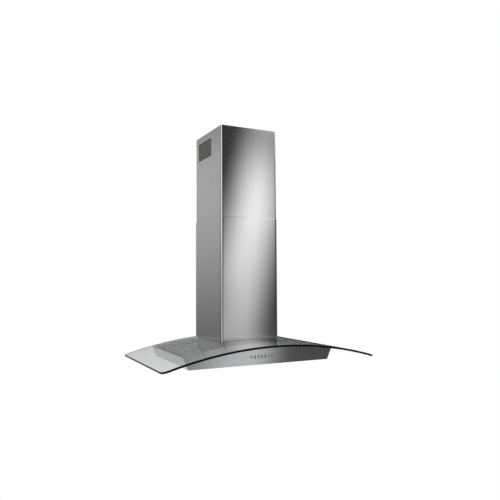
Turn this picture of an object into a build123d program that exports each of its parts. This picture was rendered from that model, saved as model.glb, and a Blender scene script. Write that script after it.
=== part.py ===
"""Wall-hung range hood: arched glass canopy, steel plenum, blower box and a telescoping flue.

Frame: X to the right as seen from the room, Y towards the wall (the wall is the plane Y = 0), Z up.
The origin is the centre of the four wall fixing holes in the back of the blower box. All sizes are in mm.
"""
from build123d import *
import math
import os

# ---------------------------------------------------------------- driving dimensions
# Fits that more than one piece uses
seat_gap = 0.3              # a piece resting on an arched face
running_gap = 0.05          # radial, a pin turning in its bore
slide_gap = 0.3             # a sliding piece in its slot
screw_gap = 0.15            # radial, a screw in its hole
press_gap = 0.02            # radial, a hub pressed on its shaft
cut = 1.0                   # how far a cutting shape runs past the face it cuts

# Arched glass
glass_width = 900.0
glass_depth = 520.0
glass_thickness = 8.0
glass_radius = 1560.0       # radius of the upper surface, bent about a line along Y
glass_front_corner = 25.0
glass_rear_corner = 4.0
glass_notch_gap = 3.0       # between the glass and the blower box
gasket_thickness = 2.0
gasket_width = 6.0
gasket_inset = 2.0
fixing_above_glass = 150.0  # wall fixing centre above the crown of the glass

# Steel canopy under the glass
canopy_height = 89.0        # crown of the glass to the lower edge
canopy_bottom_width = 616.0
canopy_depth = 383.0
canopy_side_lean = 26.0     # degrees, the ends narrow downwards
canopy_sheet = 1.0
canopy_flange = 12.0
upstand_height = 20.0       # above the crown of the glass

# Blower box through the glass, and its wall fixings
box_width = 238.0
box_depth = 259.0
box_height = 262.0          # above the crown of the glass
box_sheet = 1.0
fixing_spacing_x = 180.0
fixing_spacing_z = 150.0
fixing_hole_radius = 4.0

# Clamp that holds the glass down round the box
clamp_sheet = 1.5
clamp_leg_height = 16.0
clamp_foot = 6.5
clamp_pad_thickness = 1.5

# Pan-head screws
screw_radius = 2.0
screw_head_radius = 3.6
screw_head_height = 2.2
screw_head_round = 0.8
screw_length = 8.0
flange_screw_front_y = -320.0
flange_screw_rear_y = -60.0
clamp_screw_pitch = 150.0
clamp_screw_rise = 9.0      # above the crown of the glass

# Telescoping flue
flue_width = 261.0
flue_depth = 284.0
flue_corner = 10.0
flue_sheet = 1.0
flue_return = 7.0
flue_gap = 0.9              # between the inner and outer channels
lower_flue_height = 503.0
upper_flue_length = 480.0
flue_total_height = 880.0   # crown of the glass to the top of the flue
strip_thickness = 0.6
strip_height = 18.0
strip_below_top = 1.0

# Air vents in the upper flue
vent_length = 142.0
vent_height = 76.0
vent_from_wall = 34.0
vent_below_top = 30.0
vent_thickness = 4.0
vent_frame = 5.0
vent_flange = 3.0
vent_flange_thickness = 1.2
vent_louvre_pitch = 8.0
vent_louvre_thickness = 1.4
vent_louvre_angle = 35.0
vent_recess = 0.4
vent_rib = 2.0

# Bracket that ties the upper flue to the wall
bracket_height = 30.0
bracket_below_top = 30.0
bracket_sheet = 1.5
bracket_ear = 18.0
bracket_boss_radius = 8.0
bracket_hole_spacing = 160.0
bracket_hole_radius = 2.75

# Fan
fan_above_glass = 120.0
fan_axis_y = -124.0
scroll_radius = 98.0
scroll_half_width = 58.0
scroll_wall = 2.0
outlet_front_y = -222.0
outlet_rear_y = -82.0
outlet_flange = 8.0
inlet_radius = 60.0
inlet_lip = 5.0
impeller_radius = 75.0
impeller_inner_radius = 61.0
impeller_half_width = 50.0
impeller_ring = 2.0
impeller_ring_lip = 1.0     # the rings reach in past the blades
impeller_disc = 3.0
hub_radius = 12.0
hub_length = 20.0
hub_gap = 2.0               # between the hub and the motor
blade_count = 36
blade_length = 15.0
blade_thickness = 1.0
blade_angle = 35.0
shaft_radius = 4.0
shaft_length = 50.0
shaft_in_motor = 28.0
shaft_chamfer = 0.5
motor_radius = 42.0
motor_length = 78.0
motor_face_x = -8.0
motor_edge = 4.0
motor_bore_depth = 32.0
spider_thickness = 3.0
spider_arm_width = 12.0
spider_leg = 6.0
spider_reach = 74.0
spider_hub_radius = 22.0
capacitor_radius = 15.0
capacitor_length = 50.0
capacitor_stud_radius = 4.0
capacitor_stud_length = 5.0
capacitor_edge = 2.0
capacitor_from_front = 38.0  # its axis behind the box's front sheet
capacitor_above_glass = 50.0

# Duct collar with a back-draught damper
collar_radius = 74.5        # outside, for a 150 mm duct
collar_wall = 1.5
collar_height = 50.0
collar_flange = 9.0
damper_rise = 22.0
damper_pin_radius = 1.5
damper_knuckle_radius = 3.2
damper_plate = 1.2
damper_rim_gap = 0.8
damper_plate_start = 4.5
damper_mid_knuckle = 40.0
damper_end_knuckle = 24.0
damper_knuckle_gap = 8.0
ledge_width = 4.0
ledge_thickness = 2.0

# Underside, filters and lamps
filter_opening_width = 270.0
filter_opening_front_y = -310.0
filter_opening_rear_y = -16.0
mullion_width = 24.0
filter_side_gap = 2.0
filter_front_gap = 2.0
filter_thickness = 9.0
filter_border = 14.0
filter_groove = 4.0
mesh_thickness = 6.0
mesh_gap = 0.2
filter_axis_inset = 6.0     # hinge axis ahead of the rear edge of its opening
filter_heel = 3.0           # frame behind the hinge axis
hinge_pin_radius = 2.0
ear_thickness = 3.0
ear_gap = 2.0               # between an ear and the edge of the opening
ear_half_length = 6.0
ear_above_axis = 5.0
latch_plate_width = 70.0
latch_plate_depth = 30.0
latch_width = 48.0
latch_thickness = 3.0
latch_body = 13.6
latch_travel = 5.0
latch_pocket_depth = 26.0
tab_width = 24.0
tab_thickness = 3.0
tab_drop = 5.0
tab_from_front = 5.0
spring_wire = 0.35
spring_pitch = 2.0
lamp_spacing = 400.0
lamp_radius = 24.0
lamp_wall = 1.2
lamp_height = 22.0
lamp_trim_radius = 28.0
lamp_trim = 1.5
lamp_hole_gap = 0.5
lens_radius = 21.0
lens_thickness = 2.0
lens_gap = 0.3
lamp_ledge = 2.5
lamp_ledge_thickness = 1.2
led_radius = 18.0
led_thickness = 8.0
led_chamfer = 2.0

# Push buttons in the front panel
button_above_bottom = 31.0
button_pitch = 15.0
button_proud = 1.4
button_travel = 1.5
button_bar_width = 5.0
button_bar_height = 12.0
button_round_radius = 3.6
button_small_radius = 3.0
button_corner = 1.0
button_rim = 1.2
button_rim_thickness = 1.5
button_hole_gap = 0.3
button_pocket_gap = 0.4
guide_half_width = 62.0
guide_half_height = 14.0
guide_depth = 12.0
guide_post_radius = 3.0
guide_post_length = 4.0
guide_post_inset = 4.5
board_thickness = 1.6
switch_size = 6.0
switch_height = 2.4
switch_button_gap = 0.3
stem_end_inset = 1.0        # stem stops this far inside the back of the guide

# Electrical box and cable gland
ebox_width = 40.0
ebox_depth = 60.0
ebox_height = 120.0
ebox_wall = 2.0
ebox_from_front = 8.0       # gap behind the box's front sheet
ebox_above_glass = 40.0
gland_radius = 9.5
gland_bore_radius = 4.5
gland_flange_radius = 14.0
gland_flange = 4.0
gland_height = 16.0
gland_below = 6.0
gland_from_side = 24.0
gland_from_front = 34.0
gland_hole_gap = 0.3

# ---------------------------------------------------------------- derived places
glass_top_z = -fixing_above_glass
arch_centre_z = glass_top_z - glass_radius
glass_under_radius = glass_radius - glass_thickness
plate_outer_radius = glass_under_radius - gasket_thickness
plate_inner_radius = plate_outer_radius - canopy_sheet

canopy_bottom_z = glass_top_z - canopy_height
canopy_front_y = -canopy_depth
lean_tan = math.tan(math.radians(canopy_side_lean))
lean_cos = math.cos(math.radians(canopy_side_lean))
side_sheet_x = canopy_sheet / lean_cos
inner_half_bottom = canopy_bottom_width / 2 - side_sheet_x
upstand_top_z = glass_top_z + upstand_height

box_half = box_width / 2
box_inner_half = box_half - box_sheet
box_front_y = -box_depth
box_inner_front_y = box_front_y + box_sheet
box_top_z = glass_top_z + box_height
box_ceiling_z = box_top_z - box_sheet
capacitor_y = box_inner_front_y + capacitor_from_front
gland_x = box_half - gland_from_side
gland_y = box_front_y + gland_from_front
upstand_half = box_inner_half - canopy_sheet
upstand_front_y = box_inner_front_y + canopy_sheet
upstand_rear_y = -box_sheet - canopy_sheet

clamp_under_radius = glass_radius + clamp_pad_thickness
clamp_half = box_half + clamp_foot
clamp_front_y = box_front_y - clamp_foot
clamp_rear_y = -flue_sheet - seat_gap
notch_half = box_half + glass_notch_gap
notch_front_y = box_front_y - glass_notch_gap

flue_half = flue_width / 2
flue_front_y = -flue_depth
flue_step = flue_sheet + flue_gap
upper_half = flue_half - flue_step
upper_front_y = flue_front_y + flue_step
upper_back_y = -flue_step
lower_flue_top_z = glass_top_z + lower_flue_height
flue_top_z = glass_top_z + flue_total_height
upper_flue_bottom_z = flue_top_z - upper_flue_length

fan_axis_z = glass_top_z + fan_above_glass
motor_back_x = motor_face_x - motor_length
cover_face_x = scroll_half_width + scroll_wall

collar_y = (outlet_front_y + outlet_rear_y) / 2
collar_inner_radius = collar_radius - collar_wall
damper_z = box_top_z + damper_rise
damper_radius = collar_inner_radius - damper_rim_gap

panel_bottom_z = canopy_bottom_z + canopy_sheet
panel_top_z = panel_bottom_z + canopy_sheet
opening_inner_x = mullion_width / 2
opening_outer_x = opening_inner_x + filter_opening_width
filter_inner_x = opening_inner_x + filter_side_gap
filter_outer_x = opening_outer_x - filter_side_gap
filter_axis_y = filter_opening_rear_y - filter_axis_inset
filter_axis_z = panel_bottom_z + filter_thickness / 2
filter_rear_y = filter_axis_y + filter_heel
filter_front_y = filter_opening_front_y + filter_front_gap
filter_top_z = panel_bottom_z + filter_thickness
filter_mid_x = (filter_inner_x + filter_outer_x) / 2
lamp_x = lamp_spacing / 2
lamp_y = (canopy_front_y + canopy_sheet + canopy_flange + filter_opening_front_y) / 2
latch_nose_y = filter_opening_front_y + seat_gap
latch_heel_y = latch_nose_y + latch_body
latch_pocket_rear_y = filter_front_y + latch_pocket_depth
latch_bottom_z = filter_axis_z - latch_thickness / 2
latch_top_z = filter_axis_z + latch_thickness / 2
spring_radius = latch_thickness / 2 - spring_wire

button_z = canopy_bottom_z + button_above_bottom
panel_back_y = canopy_front_y + canopy_sheet
button_rim_front_y = panel_back_y + slide_gap
button_rim_back_y = button_rim_front_y + button_rim_thickness
pocket_back_y = button_rim_back_y + button_travel + button_pocket_gap
guide_back_y = panel_back_y + guide_depth
board_front_y = guide_back_y + guide_post_length


# ---------------------------------------------------------------- shaping helpers
def block(x0, x1, y0, y1, z0, z1):
    """A box between two corners."""
    centre = Pos((x0 + x1) / 2, (y0 + y1) / 2, (z0 + z1) / 2)
    return centre * Box(abs(x1 - x0), abs(y1 - y0), abs(z1 - z0))


def upright(x, y, z0, z1, radius):
    """A cylinder standing on Z."""
    return Pos(x, y, (z0 + z1) / 2) * Cylinder(radius, z1 - z0)


def along_x(x0, x1, y, z, radius):
    """A cylinder lying along X."""
    return Pos((x0 + x1) / 2, y, z) * Rot(0, 90, 0) * Cylinder(radius, x1 - x0)


def along_y(x, y0, y1, z, radius):
    """A cylinder lying along Y."""
    return Pos(x, (y0 + y1) / 2, z) * Rot(90, 0, 0) * Cylinder(radius, y1 - y0)


def under_arch(shape, radius):
    """The part of a shape under an arch that is concentric with the glass."""
    return shape & along_y(0, -2 * glass_depth, glass_depth, arch_centre_z, radius)


def over_arch(shape, radius):
    """The part of a shape above an arch that is concentric with the glass."""
    return shape - along_y(0, -2 * glass_depth, glass_depth, arch_centre_z, radius)


def arch_band(shape, outer_radius, inner_radius):
    """The part of a shape between two arches."""
    return over_arch(under_arch(shape, outer_radius), inner_radius)


def canopy_prism(inset, y0, y1):
    """The canopy's cross-section, taken in by a sheet's thickness, between two depths."""
    half = canopy_bottom_width / 2 - inset / lean_cos
    top_half = half + canopy_height * lean_tan
    corners = [
        (-half, y0, canopy_bottom_z),
        (half, y0, canopy_bottom_z),
        (top_half, y0, glass_top_z),
        (-top_half, y0, glass_top_z),
    ]
    return extrude(Face(Wire.make_polygon(corners)), amount=y1 - y0, dir=(0, 1, 0))


def mirrored(shape):
    """The same piece on the other side of the hood."""
    return mirror(shape, about=Plane.YZ)


def save(name, shape):
    """Writes one node."""
    solids = shape.solids()
    shape = solids[0] if len(solids) == 1 else Compound(children=list(solids))
    export_step(shape, f"parts/{name}.step")


# ---------------------------------------------------------------- screws
flange_mid_x = inner_half_bottom - canopy_flange / 2
flange_screws = [
    (side * flange_mid_x, y)
    for side in (-1, 1)
    for y in (flange_screw_front_y, flange_screw_rear_y)
]
clamp_screw_z = glass_top_z + clamp_screw_rise
clamp_screw_ys = [box_front_y / 2 - clamp_screw_pitch / 2, box_front_y / 2 + clamp_screw_pitch / 2]
clamp_screw_xs = [-clamp_screw_pitch / 2, clamp_screw_pitch / 2]


def screw_holes():
    """Every clearance hole that the pan-head screws pass through."""
    radius = screw_radius + screw_gap
    holes = Part()
    for x, y in flange_screws:
        holes += upright(x, y, canopy_bottom_z - cut, panel_top_z + cut, radius)
    for y in clamp_screw_ys:
        hole = along_x(upstand_half - cut, box_half + clamp_sheet + cut, y, clamp_screw_z, radius)
        holes += hole
        holes += mirrored(hole)
    for x in clamp_screw_xs:
        holes += along_y(x, box_front_y - clamp_sheet - cut, upstand_front_y + cut, clamp_screw_z, radius)
    return holes


def pan_head_screws():
    """The screws of the underside flanges and of the glass clamp."""
    screws = []
    for x, y in flange_screws:
        head = upright(x, y, canopy_bottom_z - screw_head_height, canopy_bottom_z, screw_head_radius)
        head = fillet(head.edges().group_by(Axis.Z)[0], screw_head_round)
        shank = upright(x, y, canopy_bottom_z, canopy_bottom_z + screw_length, screw_radius)
        screws.append(head + shank)
    clamp_face_x = box_half + clamp_sheet
    for y in clamp_screw_ys:
        head = along_x(clamp_face_x, clamp_face_x + screw_head_height, y, clamp_screw_z, screw_head_radius)
        shank = along_x(clamp_face_x - screw_length, clamp_face_x, y, clamp_screw_z, screw_radius)
        screws.append(head + shank)
        screws.append(mirrored(head + shank))
    clamp_face_y = box_front_y - clamp_sheet
    for x in clamp_screw_xs:
        head = along_y(x, clamp_face_y - screw_head_height, clamp_face_y, clamp_screw_z, screw_head_radius)
        shank = along_y(x, clamp_face_y, clamp_face_y + screw_length, clamp_screw_z, screw_radius)
        screws.append(head + shank)
    return Compound(children=[one.solids()[0] for one in screws])


# ---------------------------------------------------------------- glass and its clamp
def glass_canopy():
    """The bent sheet of glass, notched at the wall for the blower box."""
    half = glass_width / 2
    low_z = arch_centre_z
    plan = block(-half, half, -glass_depth, 0, low_z, glass_top_z + cut)
    uprights = plan.edges().filter_by(Axis.Z).group_by(Axis.Y)
    plan = fillet(uprights[0], glass_front_corner)
    uprights = plan.edges().filter_by(Axis.Z).group_by(Axis.Y)
    plan = fillet(uprights[-1], glass_rear_corner)
    plan -= block(-notch_half, notch_half, notch_front_y, cut, low_z, glass_top_z + 2 * cut)
    return arch_band(plan, glass_radius, glass_under_radius)


def glass_gasket():
    """A soft strip between the glass and the steel, round the canopy's edge."""
    front = canopy_front_y + gasket_inset
    ring = canopy_prism(gasket_inset, front, -gasket_inset)
    inset = gasket_inset + gasket_width
    ring -= canopy_prism(inset, front + gasket_width, -inset)
    ring -= block(-notch_half, notch_half, notch_front_y, cut, canopy_bottom_z, glass_top_z + cut)
    return arch_band(ring, glass_under_radius, plate_outer_radius)


def clamp_footprint(reach, top_z):
    """A band round the left, front and right of the blower box."""
    low_z = canopy_bottom_z
    outer = block(-box_half - reach, box_half + reach, box_front_y - reach, clamp_rear_y, low_z, top_z)
    return outer - block(-box_half, box_half, box_front_y, cut, low_z - cut, top_z + cut)


def glass_clamp_frame():
    """An angle frame that presses the glass down and is screwed to the box."""
    foot = clamp_footprint(clamp_foot, box_top_z)
    foot = arch_band(foot, clamp_under_radius + clamp_sheet, clamp_under_radius)
    leg = over_arch(clamp_footprint(clamp_sheet, glass_top_z + clamp_leg_height), clamp_under_radius)
    return foot + leg - screw_holes()


def glass_clamp_pad():
    """The soft pad under the clamp's foot."""
    pad = block(-clamp_half, clamp_half, clamp_front_y, clamp_rear_y, canopy_bottom_z, box_top_z)
    pad -= block(-notch_half, notch_half, notch_front_y, cut, canopy_bottom_z - cut, box_top_z + cut)
    return arch_band(pad, clamp_under_radius, glass_radius)


# ---------------------------------------------------------------- steel canopy
def canopy_top_plate():
    """The arched plate under the glass, with an upstand that the blower box fits over."""
    plate = arch_band(canopy_prism(0, canopy_front_y, 0), plate_outer_radius, plate_inner_radius)
    half = box_inner_half
    upstand = block(-half, half, box_inner_front_y, -box_sheet, canopy_bottom_z, upstand_top_z)
    upstand = over_arch(upstand, plate_inner_radius)
    half = upstand_half
    bore = block(-half, half, upstand_front_y, upstand_rear_y, canopy_bottom_z, upstand_top_z + cut)
    return plate + upstand - bore - screw_holes()


def button_shape(index, grow, y0, y1):
    """The prism of one button's cross-section, grown all round."""
    x = (index - 3) * button_pitch
    if index in button_rounds:
        return along_y(x, y0, y1, button_z, button_rounds[index] + grow)
    half_w = button_bar_width / 2 + grow
    half_h = button_bar_height / 2 + grow
    bar = block(x - half_w, x + half_w, y0, y1, button_z - half_h, button_z + half_h)
    return fillet(bar.edges().filter_by(Axis.Y), button_corner + grow)


button_rounds = {0: button_round_radius, 5: button_small_radius, 6: button_small_radius}
button_names = [
    "lamp_button",
    "speed_1_button",
    "speed_2_button",
    "speed_3_button",
    "speed_4_button",
    "timer_button",
    "off_button",
]


def canopy_front_panel():
    """The front of the canopy with its folded lower flange and button holes."""
    panel = under_arch(canopy_prism(0, canopy_front_y, panel_back_y), plate_inner_radius)
    half = inner_half_bottom - canopy_flange
    panel += block(-half, half, panel_back_y, panel_back_y + canopy_flange, canopy_bottom_z, panel_bottom_z)
    for index in range(len(button_names)):
        panel -= button_shape(index, button_hole_gap, canopy_front_y - cut, panel_back_y + cut)
    return panel


def canopy_left_side():
    """The leaning left end with its flange."""
    wall = canopy_prism(0, panel_back_y, -canopy_sheet)
    wall -= canopy_prism(canopy_sheet, panel_back_y, -canopy_sheet)
    wall = under_arch(wall, plate_inner_radius)
    wall &= block(-glass_width, 0, -glass_depth, 0, canopy_bottom_z, glass_top_z)
    edge = -canopy_bottom_width / 2 + side_sheet_x / 2
    inner = -inner_half_bottom + canopy_flange
    wall += block(edge, inner, panel_back_y, -canopy_sheet, canopy_bottom_z, panel_bottom_z)
    return wall - screw_holes()


def canopy_back_panel():
    """The back of the canopy, against the wall."""
    panel = under_arch(canopy_prism(0, -canopy_sheet, 0), plate_inner_radius)
    half = inner_half_bottom - canopy_flange
    rear = -canopy_sheet
    return panel + block(-half, half, rear - canopy_flange, rear, canopy_bottom_z, panel_bottom_z)


# ---------------------------------------------------------------- underside
def underside_panel():
    """The sheet that closes the canopy below, open for two filters and two lamps."""
    half = inner_half_bottom - slide_gap
    front_y = panel_back_y + slide_gap
    sheet = block(-half, half, front_y, -canopy_sheet - slide_gap, panel_bottom_z, panel_top_z)
    low_z = panel_bottom_z - cut
    high_z = panel_top_z + cut
    opening = block(
        opening_inner_x, opening_outer_x,
        filter_opening_front_y, filter_opening_rear_y,
        low_z, high_z,
    )
    opening += upright(lamp_x, lamp_y, low_z, high_z, lamp_radius + lamp_hole_gap)
    return sheet - opening - mirrored(opening) - screw_holes()


def filter_hinge_ears():
    """Four drilled ears that carry the filters' hinge pins."""
    ears = []
    near = opening_inner_x - ear_gap
    far = opening_outer_x + ear_gap
    for low in (near - ear_thickness, far, -near, -far - ear_thickness):
        y0 = filter_axis_y - ear_half_length
        y1 = filter_axis_y + ear_half_length
        ear = block(low, low + ear_thickness, y0, y1, panel_top_z, filter_axis_z + ear_above_axis)
        bore = hinge_pin_radius + running_gap
        ear -= along_x(low - cut, low + ear_thickness + cut, filter_axis_y, filter_axis_z, bore)
        ears.append(ear.solids()[0])
    return Compound(children=ears)


def right_filter_frame():
    """The filter's rim, with a crimped groove, hinge pins and a latch plate."""
    frame = block(filter_inner_x, filter_outer_x, filter_front_y, filter_rear_y, panel_bottom_z, filter_top_z)
    border = filter_border
    window = block(
        filter_inner_x + border, filter_outer_x - border,
        filter_front_y + border, filter_rear_y - border,
        panel_bottom_z - cut, filter_top_z + cut,
    )
    window -= latch_plate(0)
    lip = border - filter_groove
    groove_half = mesh_thickness / 2 + mesh_gap
    groove = block(
        filter_inner_x + lip, filter_outer_x - lip,
        filter_front_y + lip, filter_rear_y - lip,
        filter_axis_z - groove_half, filter_axis_z + groove_half,
    )
    groove -= latch_plate(0)
    frame -= window + groove
    half = latch_width / 2 + slide_gap
    frame -= block(
        filter_mid_x - half, filter_mid_x + half, filter_front_y - cut, latch_pocket_rear_y,
        latch_bottom_z - slide_gap, latch_top_z + slide_gap,
    )
    frame -= block(
        filter_mid_x - tab_width / 2 - slide_gap, filter_mid_x + tab_width / 2 + slide_gap,
        latch_nose_y + tab_from_front - slide_gap,
        latch_nose_y + tab_from_front + tab_thickness + latch_travel + slide_gap,
        panel_bottom_z - cut, filter_axis_z,
    )
    reach = ear_gap + ear_thickness + filter_side_gap
    pins = [(filter_inner_x - reach, filter_inner_x + cut), (filter_outer_x - cut, filter_outer_x + reach)]
    for x0, x1 in pins:
        frame += along_x(x0, x1, filter_axis_y, filter_axis_z, hinge_pin_radius)
    return frame


def latch_plate(grow):
    """The solid patch at the middle of the filter's front rim, grown all round."""
    half = latch_plate_width / 2 + grow
    return block(
        filter_mid_x - half, filter_mid_x + half,
        filter_front_y - grow, filter_front_y + latch_plate_depth + grow,
        panel_bottom_z - 2 * cut, filter_top_z + 2 * cut,
    )


def right_filter_mesh():
    """The layered grease mesh, a slab held in the rim's groove."""
    lip = filter_border - filter_groove + mesh_gap
    half = mesh_thickness / 2
    slab = block(
        filter_inner_x + lip, filter_outer_x - lip,
        filter_front_y + lip, filter_rear_y - lip,
        filter_axis_z - half, filter_axis_z + half,
    )
    return slab - latch_plate(mesh_gap)


def right_filter_latch():
    """The sliding latch with its finger tab."""
    half = latch_width / 2
    latch = block(
        filter_mid_x - half, filter_mid_x + half,
        latch_nose_y, latch_heel_y,
        latch_bottom_z, latch_top_z,
    )
    tab_y = latch_nose_y + tab_from_front
    latch += block(
        filter_mid_x - tab_width / 2, filter_mid_x + tab_width / 2,
        tab_y, tab_y + tab_thickness, panel_bottom_z - tab_drop, filter_axis_z,
    )
    return latch


def right_filter_latch_spring():
    """The coil spring behind the latch."""
    wire_gap = spring_wire + seat_gap / 2
    start = latch_heel_y + wire_gap
    length = latch_pocket_rear_y - latch_heel_y - 2 * wire_gap
    path = Helix(pitch=spring_pitch, height=length, radius=spring_radius)
    section = Plane(origin=path @ 0, z_dir=path % 0) * Circle(spring_wire)
    coil = sweep(section, path=path)
    return Pos(filter_mid_x, start, filter_axis_z) * Rot(-90, 0, 0) * coil


def right_lamp_housing():
    """The lamp's can with its trim ring."""
    top = panel_bottom_z + lamp_height
    low = panel_bottom_z - lamp_trim
    can = upright(lamp_x, lamp_y, panel_bottom_z, top, lamp_radius)
    can += upright(lamp_x, lamp_y, low, panel_bottom_z, lamp_trim_radius)
    ledge_z = low + lens_gap + lens_thickness
    ledge_top = ledge_z + lamp_ledge_thickness
    seat_radius = lens_radius + lens_gap
    can -= upright(lamp_x, lamp_y, ledge_top, top - lamp_wall, lamp_radius - lamp_wall)
    can -= upright(lamp_x, lamp_y, low - cut, ledge_z, seat_radius)
    can -= upright(lamp_x, lamp_y, ledge_z - cut, ledge_top + cut, seat_radius - lamp_ledge)
    return can


def right_lamp_lens():
    """The lamp's frosted window."""
    low = panel_bottom_z - lamp_trim + lens_gap
    return upright(lamp_x, lamp_y, low, low + lens_thickness, lens_radius)


def right_lamp_led():
    """The light module under the can's end."""
    top = panel_bottom_z + lamp_height - lamp_wall
    module = upright(lamp_x, lamp_y, top - led_thickness, top, led_radius)
    return chamfer(module.edges().group_by(Axis.Z)[0], led_chamfer)


# ---------------------------------------------------------------- blower box
def blower_box_shell():
    """The box's front and sides, standing on the canopy's top plate."""
    shell = block(-box_half, box_half, box_front_y, -box_sheet, canopy_bottom_z, box_ceiling_z)
    half = box_inner_half
    shell -= block(-half, half, box_inner_front_y, 0, canopy_bottom_z, box_ceiling_z + cut)
    shell = over_arch(shell, plate_outer_radius + seat_gap)
    shell -= screw_holes()
    stud = capacitor_stud_radius + screw_gap
    z = glass_top_z + capacitor_above_glass
    return shell - along_x(-box_half - cut, -box_inner_half + cut, capacitor_y, z, stud)


def blower_box_back():
    """The box's back, with the four wall fixing holes."""
    back = block(-box_half, box_half, -box_sheet, 0, canopy_bottom_z, box_ceiling_z)
    back = over_arch(back, plate_outer_radius + seat_gap)
    for x in (-fixing_spacing_x / 2, fixing_spacing_x / 2):
        for z in (-fixing_spacing_z / 2, fixing_spacing_z / 2):
            back -= along_y(x, -box_sheet - cut, cut, z, fixing_hole_radius)
    return back


def blower_box_top():
    """The box's lid, open for the duct collar and the cable gland."""
    lid = block(-box_half, box_half, box_front_y, 0, box_ceiling_z, box_top_z)
    lid -= upright(0, collar_y, box_ceiling_z - cut, box_top_z + cut, collar_inner_radius)
    lid -= upright(gland_x, gland_y, box_ceiling_z - cut, box_top_z + cut, gland_radius + gland_hole_gap)
    return lid


# ---------------------------------------------------------------- fan
def scroll_outline(wall, x0, x1, top_z):
    """The fan housing's side view, grown by a wall, between two places along the shaft."""
    drum = along_x(x0, x1, fan_axis_y, fan_axis_z, scroll_radius + wall)
    neck = block(x0, x1, outlet_front_y - wall, outlet_rear_y + wall, fan_axis_z, top_z)
    return drum + neck


def scroll_housing():
    """The wrapper of the fan housing, with the flange of its outlet."""
    half = scroll_half_width
    rim_z = box_ceiling_z - scroll_wall
    wrapper = scroll_outline(scroll_wall, -half, half, box_ceiling_z)
    wrapper += block(
        -half - outlet_flange, half + outlet_flange,
        outlet_front_y - outlet_flange, outlet_rear_y + outlet_flange,
        rim_z, box_ceiling_z,
    )
    inside = scroll_outline(0, -half, half, box_ceiling_z + cut)
    return wrapper - inside


def right_scroll_cover():
    """The side plate of the fan housing, with its inlet lip."""
    half = scroll_half_width
    cover = scroll_outline(scroll_wall, half, half + scroll_wall, box_ceiling_z - scroll_wall)
    x0 = half - inlet_lip
    x1 = half + scroll_wall
    cover += along_x(x0, x1, fan_axis_y, fan_axis_z, inlet_radius + scroll_wall)
    return cover - along_x(x0 - cut, x1 + cut, fan_axis_y, fan_axis_z, inlet_radius)


def impeller():
    """The squirrel-cage wheel: blades between two rings, on a disc and hub."""
    half = impeller_half_width
    ring_bore = impeller_inner_radius - impeller_ring_lip
    wheel = along_x(0, impeller_disc, fan_axis_y, fan_axis_z, impeller_radius)
    for x0 in (-half, half - impeller_ring):
        ring = along_x(x0, x0 + impeller_ring, fan_axis_y, fan_axis_z, impeller_radius)
        wheel += ring - along_x(x0 - cut, x0 + impeller_ring + cut, fan_axis_y, fan_axis_z, ring_bore)
    hub_x0 = motor_face_x + hub_gap
    wheel += along_x(hub_x0, hub_x0 + hub_length, fan_axis_y, fan_axis_z, hub_radius)
    mid = (impeller_radius + impeller_inner_radius) / 2
    blade = Box(2 * half - impeller_ring, blade_length, blade_thickness)
    blades = []
    for index in range(blade_count):
        turn = Rot(360 / blade_count * index, 0, 0)
        blades.append(Pos(0, fan_axis_y, fan_axis_z) * turn * Pos(0, mid, 0) * Rot(blade_angle, 0, 0) * blade)
    wheel = wheel + blades
    return wheel - along_x(-half, half, fan_axis_y, fan_axis_z, shaft_radius + press_gap)


def motor_shaft():
    """The steel shaft from the motor to the wheel's hub."""
    start = motor_face_x - shaft_in_motor
    shaft = along_x(start, start + shaft_length, fan_axis_y, fan_axis_z, shaft_radius)
    return chamfer(shaft.edges().group_by(Axis.X)[-1], shaft_chamfer)


def motor():
    """The fan motor, nested in the wheel, with its shaft bore."""
    can = along_x(motor_back_x, motor_face_x, fan_axis_y, fan_axis_z, motor_radius)
    can = fillet(can.edges().filter_by(GeomType.CIRCLE), motor_edge)
    bore = shaft_radius + running_gap
    return can - along_x(motor_face_x - motor_bore_depth, motor_face_x + cut, fan_axis_y, fan_axis_z, bore)


def motor_bracket():
    """A three-armed spider from the motor's back to the left side plate."""
    x0 = motor_back_x - spider_thickness
    spider = along_x(x0, motor_back_x, 0, 0, spider_hub_radius)
    half = spider_arm_width / 2
    for turn in (90, 210, 330):
        arm = block(x0, motor_back_x, 0, spider_reach, -half, half)
        arm += block(x0, -cover_face_x, spider_reach - spider_leg, spider_reach, -half, half)
        spider += Rot(turn, 0, 0) * arm
    return Pos(0, fan_axis_y, fan_axis_z) * spider


def run_capacitor():
    """The motor's capacitor, held by its stud in the box's left wall."""
    z = glass_top_z + capacitor_above_glass
    can = along_x(-box_inner_half, -box_inner_half + capacitor_length, capacitor_y, z, capacitor_radius)
    can = fillet(can.edges().group_by(Axis.X)[-1], capacitor_edge)
    x1 = -box_inner_half
    return can + along_x(x1 - capacitor_stud_length, x1, capacitor_y, z, capacitor_stud_radius)


# ---------------------------------------------------------------- duct collar and damper
def duct_collar():
    """The round outlet, with a ledge under the damper flaps."""
    top = box_top_z + collar_height
    collar = upright(0, collar_y, box_top_z, top, collar_radius)
    collar += upright(0, collar_y, box_top_z, box_top_z + collar_wall, collar_radius + collar_flange)
    collar -= upright(0, collar_y, box_top_z - cut, top + cut, collar_inner_radius)
    ledge_top = damper_z - damper_plate / 2 - seat_gap
    ledge_z = ledge_top - ledge_thickness
    ledge = upright(0, collar_y, ledge_z, ledge_top, collar_radius)
    collar += ledge - upright(0, collar_y, ledge_z - cut, ledge_top + cut, collar_inner_radius - ledge_width)
    bore = damper_pin_radius + running_gap
    return collar - along_y(0, collar_y - 2 * collar_radius, collar_y + 2 * collar_radius, damper_z, bore)


def damper_pin():
    """The pin that both flaps turn on."""
    return along_y(0, collar_y - collar_radius, collar_y + collar_radius, damper_z, damper_pin_radius)


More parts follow.
